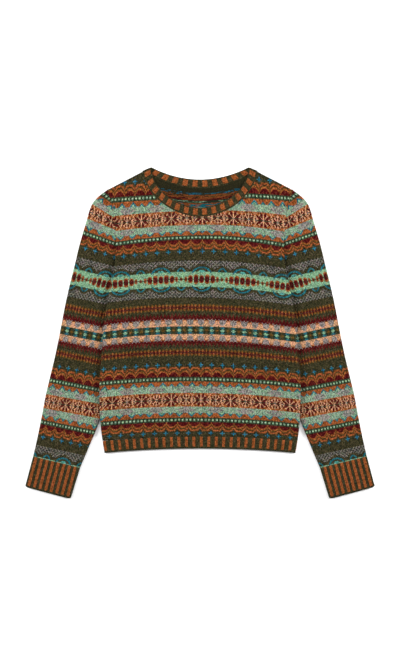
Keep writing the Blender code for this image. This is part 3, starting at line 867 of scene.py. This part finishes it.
# %% Seams and edges of the body
SEAM_DIP = 0.9 * MM
JOIN_GAP = 0.05 * MM  # between two sewn edges
SEAM_DIP_WIDTH = 1.6 * MM
SOFT_SIDE = 0.9 * MM  # how much the cloth sinks towards the folded sides
SOFT_SIDE_WIDTH = 6 * MM
NECK_SEAM = 1.0 + JOIN_GAP / BAND_WIDTH  # in band widths from the neck's edge
WAVE_HEIGHT = 0.35 * MM
WAVES_ACROSS, WAVES_ALONG, WAVE_BENDS = 31.0, 23.0, 17.0  # radians a metre
INSIDE_COURSES = [  # (height on the inside of the back, course that runs there) in mm
    (100, 172.5), (150, 200.0), (200, 228.3), (240, 252.0), (255, 260.5), (262, 264.5), (268.6, 269.5),
    (272.6, 274.5), (279, 280.0), (285.4, 285.5), (290, 293.0), (300, 303.0), (330, 306.0),
]
INSIDE_RISE = 9 * MM  # how much higher a course runs 78 mm from the middle, seen inside the neck
INSIDE_REACH = (78 * MM, 88 * MM)
INSIDE_FROM, INSIDE_RAMP = 200 * MM, 50 * MM  # from this height on, over so much
SIDE_FADE = 1 / 3  # how fast a soft side fades out above the underarm


def neck_margin_front(x, y):
    """Distance outside the curve of the front neckline's seam."""
    width = NECK_POINT[0] + NECK_SEAM * BAND_WIDTH
    depth = NECK_FRONT_DROP + NECK_SEAM * BAND_WIDTH
    down = np.maximum(0.0, NECK_POINT[1] - y)
    size = ((np.abs(x) / width) ** NECK_ROUNDNESS + (down / depth) ** NECK_ROUNDNESS) ** (1 / NECK_ROUNDNESS)
    return np.hypot(x, down) * (1 - 1 / np.maximum(size, 1e-3))


def back_neck_y(x, down):
    """Height of the back neckline's edge, or of its seam where down is 1."""
    end_x = NECK_POINT[0] + down * BAND_SHOULDER_RUN
    end_y = NECK_POINT[1] - down * BAND_SHOULDER_DROP
    middle_y = NECK_POINT[1] - NECK_BACK_DROP - down * BAND_WIDTH
    return blend(middle_y, end_y, (x / end_x) ** 2)


def back_course(w, c):
    """Course that shows inside the back. Steaming has pushed its rows together under the neck."""
    x, y = body_stitch(w, c)
    rise = INSIDE_RISE * (np.minimum(np.abs(x), INSIDE_REACH[1]) / INSIDE_REACH[0]) ** 2
    under_neck = smooth_step((y - INSIDE_FROM) / INSIDE_RAMP)
    return blend(c, between(INSIDE_COURSES, (y - rise) / MM, 1), under_neck)


def seam_margin(x, y, front):
    """Distance from the nearest sewn edge: hem, neck or armhole."""
    neck = neck_margin_front(x, y) if front else back_neck_y(x, NECK_SEAM) - y
    hem = y - hem_seam_y(x) - JOIN_GAP
    armhole = np.where(y > UNDERARM, half_width(y) - np.abs(x), 1.0)
    return np.minimum(np.minimum(neck, hem), armhole)


print(f"the neck's seam lies {NECK_SEAM * BAND_WIDTH / MM:.2f} mm outside its edge")


# %% Place the body's stitches
def body_margin(w, c, front):
    """Distance from the nearest edge of a body piece, sewn or folded."""
    x, y = body_stitch(w, c)
    folded = np.minimum(half_width(y) - np.abs(x), (shoulder_y(x) - y) / SHOULDER_STRETCH)
    return np.minimum(folded, seam_margin(x, y, front))


def soft_waves(x, y):
    """The cloth never lies quite flat: long low waves, a little stronger towards the hem."""
    across = np.sin(x * WAVES_ACROSS + 2.0 * np.sin(y * WAVE_BENDS))
    return WAVE_HEIGHT * (across * np.sin(y * WAVES_ALONG + 1.3) - 0.3)


def seam_dip(distance):
    """How far the cloth rolls down at a distance from a seam."""
    return SEAM_DIP * np.exp(-(distance / SEAM_DIP_WIDTH) ** 2)


def place_body(w, c, outside, front):
    """Place of a body piece's points: level inside, and outside with its seams, sides and waves."""
    x, y = body_stitch(w, c)
    z = layer_height(x, y, front, outside)
    if front:
        dip = seam_dip(np.maximum(0.0, seam_margin(x, y, front)))
        side = np.maximum(0.0, half_width(y) - np.abs(x) + np.maximum(0.0, y - UNDERARM) * SIDE_FADE)
        dip = np.maximum(dip, SOFT_SIDE * np.exp(-side / SOFT_SIDE_WIDTH))
        z = np.where(outside, z - dip + soft_waves(x, y), z)
    return x, y, z


print(f"a seam sinks by {seam_dip(0.0) / MM:.1f} mm")


# %% Knit front and back
def two_yarns(row):
    """The row's most used yarn and the next one, which is carried behind it."""
    numbers, counts = np.unique(row, return_counts=True)
    ranked = numbers[np.argsort(-counts)]
    return ranked[0], ranked[min(1, len(ranked) - 1)]


MAIN, CARRIED = np.array([two_yarns(row) for row in SWATCH]).T


def swatch_chart(w, c, side):
    """Yarns of the fair isle, on the side that shows and inside."""
    course = np.clip(c - FIRST_COURSE, 0, len(SWATCH) - 1)
    wale = np.clip(w + SWATCH_HALF, 0, 2 * SWATCH_HALF)
    inside = np.where(side == MAIN_INSIDE, MAIN[course], CARRIED[course])
    return np.where(side == OUTSIDE, SWATCH[course, wale], inside)


BODY_WALES = (-116.5, 116.5)
BODY_COURSES = (-2, 308)
body_pieces = {}
for name, front, lining_step, inside in (
    ("front", True, (6, 4), same_course), ("back", False, (6, 0.5), back_course),
):
    body_pieces[name] = knit(
        name + "_knit", BODY_WALES, BODY_COURSES,
        lambda w, c: body_margin(w, c, front),
        lambda w, c, outside: place_body(w, c, outside, front),
        swatch_chart, [lambswool, floats], lining_step=lining_step, lining_course=inside,
    )


# %% [markdown]
# ## Sleeves
#
# A sleeve is one flat piece that is folded round and sewn along its length. It lies flat too, so it has two
# sharp folds: the outer one, where wale 0 of the pattern runs, and the inner one with its seam, most of it
# hidden under the body. The courses fan out towards the top, where the cap is sewn into the armhole.
#
# The table says at which height chosen courses cross the outer fold, how steeply they run from there down
# to the inner fold, and how wide a stitch is.

# %% Lay the courses of a sleeve
SLEEVE_COURSES = [  # (course, y at the outer fold, slope, stitch width, wales that the pattern is shifted by)
    (-20, -254.5, 0.236, 1.62, 4.0), (4.5, -212.0, 0.212, 1.61, 4.0), (20.5, -183.0, 0.205, 1.58, 3.0),
    (42.5, -140.5, 0.178, 1.57, 2.6), (64.5, -97.6, 0.200, 1.55, 2.2), (80.5, -66.6, 0.212, 1.53, 2.1),
    (94.5, -41.0, 0.215, 1.54, 2.0), (111.5, -9.0, 0.207, 1.55, 1.5), (119.5, 6.0, 0.20, 1.56, 1.5),
    (160.0, 82.0, 0.21, 1.60, 2.0), (199.0, 156.0, 0.26, 1.68, 2.5), (209.5, 176.8, 0.302, 1.72, 2.7),
    (225.5, 204.5, 0.345, 1.74, 2.7), (240.0, 233.5, 0.40, 1.76, 2.7), (247.5, 248.0, 0.45, 1.76, 2.7),
    (255.0, 263.5, 0.607, 1.76, 2.7), (269.5, 286.0, 0.80, 1.76, 2.7), (275.5, 292.3, 0.82, 1.76, 2.7),
    (290.0, 305.0, 0.82, 1.76, 2.7),
]
FOLD_ARC = FOLD_RADIUS * math.pi / 2
CLOSING = (158.0 * MM, 142.0 * MM)  # heights between which the open cap turns into a closed tube
SEARCH_WIDTH = 150.0 * MM
HALVINGS = 40


def sleeve_line(c):
    """A course on the flat sleeve: its start on the outer fold and its direction inwards."""
    start_y = between(SLEEVE_COURSES, c, 1) * MM
    start_x = outer_fold_x(start_y)
    slope = between(SLEEVE_COURSES, c, 2)
    stretch = np.hypot(1.0, slope)
    return start_x, start_y, -1.0 / stretch, -slope / stretch


def inner_end_x(y):
    """Where a sleeve ends inwards: at its hidden fold, or further up at the armhole."""
    into_cap = smooth_step((y - CLOSING[1]) / (CLOSING[0] - CLOSING[1]))
    fold = inner_fold_x(y)
    return blend(fold, np.minimum(fold, half_width(y)) - SEAM_GAP, into_cap)


def sleeve_width(c):
    """Length of a course from the outer fold to the inner end, found by halving."""
    start_x, start_y, right, up = sleeve_line(c)
    near, far = np.zeros_like(start_x), np.full_like(start_x, SEARCH_WIDTH)
    for _ in range(HALVINGS):
        middle = (near + far) / 2
        inside = start_x + right * middle > inner_end_x(start_y + up * middle)
        near, far = np.where(inside, middle, near), np.where(inside, far, middle)
    return near


COURSE_STEPS = np.arange(-30.0, 300.0, 0.5)
SLEEVE_WIDTHS = sleeve_width(COURSE_STEPS)


print(f"a sleeve is {SLEEVE_WIDTHS.max() / MM:.0f} mm wide at its widest course")


# %% Fold a sleeve
PRESSED = 0.45  # how much thinner the sleeve is where the body lies on it
PRESS_REACH = 14 * MM
PRESS_FROM, PRESS_RAMP = UNDERARM + 10 * MM, 40 * MM  # below this height, over so much
CLEAR_OF_BODY, CLEAR_RAMP = 2 * MM, 10 * MM  # from where beside the body a sleeve has waves
LEVEL_TOP = 0.9  # of the fold's height
SLEEVE_ROW = 1.7 * MM  # about


def fold_profile(distance, width, closed, radius):
    """Runs round half of a flattened tube, and returns how far across it is and how high over its middle.

    It starts at the outer fold. At the inner one the cloth turns down only as far as the tube is closed.
    """
    turn = np.minimum(distance, FOLD_ARC) / FOLD_RADIUS
    flat = np.clip(distance - FOLD_ARC, 0.0, None)
    inner_radius = np.maximum(FOLD_RADIUS * closed, 1e-5)
    level = np.maximum(width - FOLD_RADIUS - inner_radius, 0.0)
    inner_turn = np.clip(distance - FOLD_ARC - level, 0.0, inner_radius * math.pi / 2) / inner_radius
    share = radius / FOLD_RADIUS
    across = FOLD_RADIUS - radius * np.cos(turn) + np.minimum(flat, level)
    across = across + share * inner_radius * np.sin(inner_turn)
    height = radius * np.sin(turn) - share * inner_radius * (1 - np.cos(inner_turn))
    return across, height


def sleeve_state(w, c):
    """Distance round the tube from the outer fold, width of the flat tube, and how far it is closed."""
    distance = np.abs(w) * between(SLEEVE_COURSES, c, 3) * MM
    width = np.interp(c, COURSE_STEPS, SLEEVE_WIDTHS)
    _, start_y, _, up = sleeve_line(c)
    end_y = start_y + up * width
    closed = smooth_step((CLOSING[0] - end_y) / (CLOSING[0] - CLOSING[1]))
    return distance, width, closed


def sleeve_plan(c, across):
    """x and y of a point on a course, so far across the flat sleeve."""
    start_x, start_y, right, up = sleeve_line(c)
    return start_x + right * across, start_y + up * across


def sleeve_margin(w, c):
    """Distance from the nearest of the sleeve's seams: along it, at the armhole, at the cuff."""
    distance, width, closed = sleeve_state(w, c)
    x, y = sleeve_plan(c, fold_profile(distance, width, closed, FOLD_RADIUS)[0])
    whole = FOLD_ARC + width - FOLD_RADIUS * (1 + closed) + FOLD_RADIUS * closed * math.pi / 2
    seam = whole - SEAM_GAP / 2 - distance
    armhole = np.where(y > CLOSING[1], x - half_width(y) - JOIN_GAP, 1.0)
    cuff = (c - FIRST_COURSE) * SLEEVE_ROW
    return np.minimum(np.minimum(seam, armhole), cuff)


def place_sleeve(w, c, outside, side):
    """Place of a sleeve's points, with the upper layer for the wales above 0 and the lower for the rest."""
    distance, width, closed = sleeve_state(w, c)
    across, height = fold_profile(distance, width, closed, np.where(outside, FOLD_RADIUS, FOLD_RADIUS - WALL))
    x, y = sleeve_plan(c, across)
    top = w > 0
    z = FOLD_RADIUS + np.where(top, height, -height)
    dip = seam_dip(np.maximum(0.0, sleeve_margin(w, c))) * (height > LEVEL_TOP * FOLD_RADIUS)
    free = np.clip((np.abs(x) - half_width(y) - CLEAR_OF_BODY) / CLEAR_RAMP, 0.0, 1.0)
    z = np.where(outside & top, z - dip + free * soft_waves(x, y), z)
    under_body = smooth_step((half_width(y) - np.abs(x) + PRESS_REACH) / PRESS_REACH)
    pressed = PRESSED * under_body * smooth_step((PRESS_FROM - y) / PRESS_RAMP)
    return x * side, y, z * (1 - pressed)


def sleeve_chart(w, c, side):
    """The body's chart, shifted so that wale 0 lies on the outer fold."""
    shift = np.round(between(SLEEVE_COURSES, c, 4)).astype(int)
    return swatch_chart(w + shift, c, side)


print(f"a fold takes {FOLD_ARC / MM:.1f} mm of cloth for each layer")

# %% Knit the sleeves
SLEEVE_WALES = (-84.5, 84.5)
SLEEVE_RANGE = (-20, 278)
sleeves = {}
for side_name, side in SIDES:
    sleeves[side_name] = knit(
        f"sleeve_{side_name}_knit", SLEEVE_WALES, SLEEVE_RANGE, sleeve_margin,
        lambda w, c, outside: place_sleeve(w, c, outside, side),
        sleeve_chart, [lambswool, floats],
    )

# %% [markdown]
# ## Corrugated ribs
#
# Hem, cuffs and neckband are knitted in a two-colour rib: four rust stitches that come forward, then four
# olive purl stitches that sink back. The last rows are olive alone, where the rib is cast off.

# %% Shape a rib
RIB_PERIOD = 8
RIB_STITCHES = 3.6  # four, of which the outer two turn away
CUFF_STITCHES = 4.0  # of them rust on the cuffs, which are stretched less
RIB_SIDE = 0.9  # stitches in which a rib rises
RIB_INSET = 1.2 * MM
RIB_STARTS, RIB_RAMP = 2.6 * MM, 1.2 * MM  # from the cast-off edge
TIE_BREAK = 0.01  # of a stitch, so that none lies just between two yarns


def rib_rise(phase, period, ribs):
    """1 on a rib and 0 between ribs, with a soft side. The rib is in the middle of its period."""
    from_rib = np.abs(np.mod(phase, period) - period / 2)
    return smooth_step((ribs / 2 - from_rib) / RIB_SIDE + 0.5)


def rib_yarn(phase, period, ribs, edge):
    """Rust on the ribs and olive between them and along the edge."""
    on_rib = np.abs(np.mod(phase, period) - period / 2) < ribs / 2
    return np.where(on_rib & ~edge, YARN_NUMBER["r"], YARN_NUMBER["o"])


def rib_start(from_edge):
    """0 on the cast-off edge and 1 where the ribs have come forward."""
    return smooth_step((from_edge - RIB_STARTS) / RIB_RAMP)


def thinned(from_edge, depth, width):
    """How much thinner the cloth gets towards the cast-off edge, over this width."""
    return depth * (1 - smooth_step(from_edge / width))


# The sides of a rib are steep, so its faces are half a stitch wide.
knit_rib = partial(knit, materials=[rib_wool], step=(0.5, 1), lining_step=(1, 1))
print(f"a rib and its gap take {RIB_PERIOD} stitches and stand {RIB_RISE / MM:.1f} mm high")

# %% Knit the hem
HEM_STITCH = 1.925 * MM
HEM_ROWS = 13
HEM_ROW = HEM_HEIGHT / HEM_ROWS
HEM_OFFSET = 2.7 * MM  # where a rib's middle lies, nearest to the middle of the front
HEM_WALES = (-110, 110)
HEM_THINNED = (0.9 * MM, 1.8 * MM)
EDGE_ROWS = 2


def hem_stitch(w, c):
    """Place of a stitch of the hem: course 0 is its seam and the cast-off edge is below."""
    x = HEM_OFFSET + w * HEM_STITCH
    y = hem_seam_y(x) + c * HEM_ROW
    return x * half_width(y) / half_width(HEM_SEAM_HEIGHT), y


def hem_margin(w, c):
    """Distance from the folded sides, the seam and the cast-off edge."""
    x, y = hem_stitch(w, c)
    ends = np.minimum(-c, c + HEM_ROWS) * HEM_ROW
    return np.minimum(half_width(y) - np.abs(x), ends)


def place_hem(w, c, outside, front):
    """Place of the hem's stitches. Only the front's ribs come forward: the back's are out of sight."""
    x, y = hem_stitch(w, c)
    z = layer_height(x, y, front, outside)
    from_edge = (c + HEM_ROWS) * HEM_ROW
    raised = rib_rise(w + RIB_PERIOD / 2, RIB_PERIOD, RIB_STITCHES) * rib_start(from_edge)
    if front:
        sunk = seam_dip(c * HEM_ROW) + thinned(from_edge, *HEM_THINNED)
        z = np.where(outside, z + RIB_RISE * raised - sunk, z)
    return x, y, z


def hem_chart(w, c, side):
    """Rust ribs and an olive edge."""
    return rib_yarn(w + RIB_PERIOD / 2 + TIE_BREAK, RIB_PERIOD, RIB_STITCHES, c < EDGE_ROWS - HEM_ROWS)


hems = {}
for name, front in (("hem_rib_front", True), ("hem_rib_back", False)):
    hems[name] = knit_rib(
        name + "_knit", HEM_WALES, (-HEM_ROWS, 0), hem_margin,
        lambda w, c, outside: place_hem(w, c, outside, front), hem_chart, inset=RIB_INSET,
    )
print(len(hems), "hem ribs")

# %% [markdown]
# The cuffs are tubes like the sleeves, only straight. Their corners are drawn in a little at the open end.

# %% Knit the cuffs
CUFF_STITCH = 1.478 * MM
CUFF_ROWS = 34
CUFF_SEAM = np.array(SLEEVE_FOLDS[-1]) * MM
CUFF_OPEN = np.array(CUFF_END) * MM
CUFF_LENGTH = math.hypot(CUFF_OPEN[0] - CUFF_SEAM[0], CUFF_OPEN[1] - CUFF_SEAM[1])
CUFF_ROW = CUFF_LENGTH / CUFF_ROWS
CUFF_WALES = (-72, 72)
CUFF_THINNED = (0.6 * MM, 1.6 * MM)
CUFF_INSET = 1.5 * MM
CUFF_LEVEL_TOP = 0.7  # of the fold's height
CORNER_POWERS = (8, 16)  # how near to the end and to the folds a corner is drawn in
FIRST_RIB = 2
LAST_RIB_ENDS = 64


def cuff_ends(c):
    """Outer and inner fold of the cuff, as x and y each, and their distance. Course 0 is its seam."""
    ends = [blend(CUFF_SEAM[i], CUFF_OPEN[i], -c / CUFF_ROWS) for i in range(4)]
    return *ends, np.hypot(ends[0] - ends[2], ends[1] - ends[3])


def cuff_margin(w, c):
    """Distance from the seam along the cuff and from its two ends."""
    whole = cuff_ends(c)[-1] - 2 * FOLD_RADIUS + 2 * FOLD_ARC
    ends = np.minimum(-c * CUFF_ROW - JOIN_GAP, (c + CUFF_ROWS) * CUFF_ROW)
    return np.minimum(whole - SEAM_GAP / 2 - np.abs(w) * CUFF_STITCH, ends)


def place_cuff(w, c, outside, side):
    """Place of a cuff's stitches on its tube, with the corners at the open end drawn in."""
    outer_x, outer_y, inner_x, inner_y, width = cuff_ends(c)
    radius = np.where(outside, FOLD_RADIUS, FOLD_RADIUS - WALL)
    across, height = fold_profile(np.abs(w) * CUFF_STITCH, width, 1.0, radius)
    share = across / width
    drawn = CUFF_CORNER * (-c / CUFF_ROWS) ** CORNER_POWERS[0] * np.abs(2 * share - 1) ** CORNER_POWERS[1]
    x = blend(outer_x, inner_x, share) - drawn * (CUFF_OPEN[0] - CUFF_SEAM[0]) / CUFF_LENGTH
    y = blend(outer_y, inner_y, share) - drawn * (CUFF_OPEN[1] - CUFF_SEAM[1]) / CUFF_LENGTH
    from_edge = (c + CUFF_ROWS) * CUFF_ROW
    raised = rib_rise(np.abs(w) - FIRST_RIB, RIB_PERIOD, RIB_STITCHES) * (np.abs(w) < LAST_RIB_ENDS)
    sunk = seam_dip(c * CUFF_ROW) + thinned(from_edge, *CUFF_THINNED)
    top = (w > 0) & outside & (height > CUFF_LEVEL_TOP * FOLD_RADIUS)
    z = FOLD_RADIUS + np.where(w > 0, height, -height)
    return x * side, y, np.where(top, z + RIB_RISE * raised * rib_start(from_edge) - sunk, z)


def cuff_chart(w, c, side):
    edge = (c < EDGE_ROWS - CUFF_ROWS) | (np.abs(w) > LAST_RIB_ENDS)
    return rib_yarn(np.abs(w + TIE_BREAK) - FIRST_RIB, RIB_PERIOD, CUFF_STITCHES, edge)


cuffs = {}
for side_name, side in SIDES:
    cuffs[side_name] = knit_rib(
        f"cuff_{side_name}_knit", CUFF_WALES, (-CUFF_ROWS, 0), cuff_margin,
        lambda w, c, outside: place_cuff(w, c, outside, side), cuff_chart, inset=CUFF_INSET,
    )
print(len(cuffs), "cuffs of", 2 * LAST_RIB_ENDS // RIB_PERIOD, "ribs")

# %% [markdown]
# The neckband is picked up round the neckline and knitted inwards. Its ribs are five stitches wide, with
# olive rows at both of its edges. Its front half shows the outside. Of its back half the inside shows
# through the neck, so that wall is turned round: its good side faces up.

# %% Shape the neckband
BAND_ROWS = 10
BAND_PERIOD = 10
BAND_RIB = 5
FRONT_RIBS = 16
BACK_STITCH = 1.89 * MM
BAND_RUST = (1, 7)  # first and last course with rust in it
BAND_RIBS, BAND_RIB_RAMPS = (0.8 * MM, 16.4 * MM), (1.8 * MM, 1.4 * MM)  # where the ribs begin and end
BAND_DIP = 0.6  # of a whole seam's dip
BAND_THINNED = (0.7 * MM, 2.2 * MM)
BACK_BAND_WALES = (-54, 54)
END_STITCHES = 2  # over which the ribs die away at the shoulders


def neck_curve(turn, widen):
    """The front neckline: turn 0 at the middle to 1 at the shoulder, widen 0 inside to 1 outside the band."""
    width = NECK_POINT[0] + widen * BAND_WIDTH
    depth = NECK_FRONT_DROP + widen * BAND_WIDTH
    start = widen * np.arcsin((BAND_SHOULDER_DROP / depth) ** (NECK_ROUNDNESS / 2))
    angle = blend(math.pi / 2, start, turn)
    x = width * np.maximum(np.cos(angle), 0.0) ** (2 / NECK_ROUNDNESS)
    return x, NECK_POINT[1] - depth * np.sin(angle) ** (2 / NECK_ROUNDNESS)


TURNS = np.linspace(0.0, 1.0, 400)
BAND_X, BAND_Y = neck_curve(TURNS, 0.5)
BAND_LENGTHS = np.append(0.0, np.cumsum(np.hypot(np.diff(BAND_X), np.diff(BAND_Y))))
BAND_HALF = FRONT_RIBS * BAND_PERIOD / 2
FRONT_STITCH = BAND_LENGTHS[-1] / BAND_HALF
BAND_ROW = BAND_WIDTH / BAND_ROWS
BACK_HALF = NECK_POINT[0] / BACK_STITCH


def band_margin(w, c, half, stitch):
    """Distance from the band's ends and its two long edges."""
    return np.minimum((half - np.abs(w)) * stitch, np.minimum(c, BAND_ROWS - c) * BAND_ROW)


def band_profile(w, c):
    """Height of the ribs over the band, which ends in a thin cast-off edge at course 0."""
    down = c * BAND_ROW
    begins = smooth_step((down - BAND_RIBS[0]) / BAND_RIB_RAMPS[0])
    ends = smooth_step((BAND_RIBS[1] - down) / BAND_RIB_RAMPS[1])
    sunk = BAND_DIP * seam_dip(BAND_WIDTH - down) + thinned(down, *BAND_THINNED)
    return RIB_RISE * rib_rise(w, BAND_PERIOD, BAND_RIB) * begins * ends - sunk


def band_height(w, c, half):
    """The ribs' height over the band, dying away towards its two ends."""
    return band_profile(w, c) * np.minimum(1.0, (half - np.abs(w)) / END_STITCHES)


def place_front_band(w, c, outside):
    """Place of the front half's stitches: along the neckline by their length, across it by courses."""
    turn = np.interp(np.abs(w) * FRONT_STITCH, BAND_LENGTHS, TURNS)
    x, y = neck_curve(turn, c / BAND_ROWS)
    x = np.copysign(x, w)
    z = layer_height(x, y, True, outside)
    return x, y, np.where(outside, z + band_height(w, c, BAND_HALF), z)


def place_back_band(w, c, outside):
    """Place of the back half's stitches, whose wall stands inside the back and thins to its edge."""
    across, down = w / BACK_HALF, c / BAND_ROWS
    x = across * (NECK_POINT[0] + down * BAND_SHOULDER_RUN)
    under = layer_height(x, back_neck_y(x, down), False, True)
    ribbed = BACK_BAND_WALL + band_height(w, c, BACK_HALF)
    return x, back_neck_y(x, down), np.where(outside, ribbed, np.minimum(under, BACK_BAND_WALL - THIN_EDGE))


def band_chart(w, c, side):
    return rib_yarn(w + TIE_BREAK, BAND_PERIOD, BAND_RIB, (c < BAND_RUST[0]) | (c > BAND_RUST[1]))


print(f"a stitch of the front band is {FRONT_STITCH / MM:.2f} mm wide")

# %% Knit the neckband
neckband_front = knit_rib(
    "neckband_front_knit", (-BAND_HALF, BAND_HALF), (0, BAND_ROWS),
    lambda w, c: band_margin(w, c, BAND_HALF, FRONT_STITCH), place_front_band, band_chart, inset=RIB_INSET,
)
neckband_back = knit_rib(
    "neckband_back_knit", BACK_BAND_WALES, (0, BAND_ROWS),
    lambda w, c: band_margin(w, c, BACK_HALF, BACK_STITCH), place_back_band, band_chart, inset=RIB_INSET,
)

# %% [markdown]
#
# Every knitted piece takes the place of one solid and moves with the garment. Each is a sheet of cloth that
# was knitted flat: its size is its stitches times the size of a stitch.

# %% Attach the pieces and hide the solids
def declare(piece, node, flat):
    """Attaches a piece to the garment, hides the solid that it replaces, and prints the flat size that it was
    knitted to.
    """
    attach(piece, "root")
    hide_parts(node)
    cloth = surface_area(piece.data) / 2
    print(f"{node}: cut {flat[0] * 100:.1f} x {flat[1] * 100:.1f} cm, cloth {cloth:.3f} square metres")


BODY_CUT = (0.412, 0.556)  # metres
SLEEVE_CUT = (0.276, 0.545)
HEM_CUT = (0.402, HEM_HEIGHT)
CUFF_CUT = (0.204, CUFF_LENGTH)
declare(body_pieces["front"], "front", BODY_CUT)
declare(body_pieces["back"], "back", BODY_CUT)
for name, piece in hems.items():
    declare(piece, name, HEM_CUT)
for side_name, _ in SIDES:
    declare(sleeves[side_name], "sleeve_" + side_name, SLEEVE_CUT)
    declare(cuffs[side_name], "cuff_" + side_name, CUFF_CUT)
declare(neckband_front, "neckband_front", (2 * BAND_LENGTHS[-1], BAND_WIDTH))
declare(neckband_back, "neckband_back", (2 * NECK_POINT[0], BAND_WIDTH))
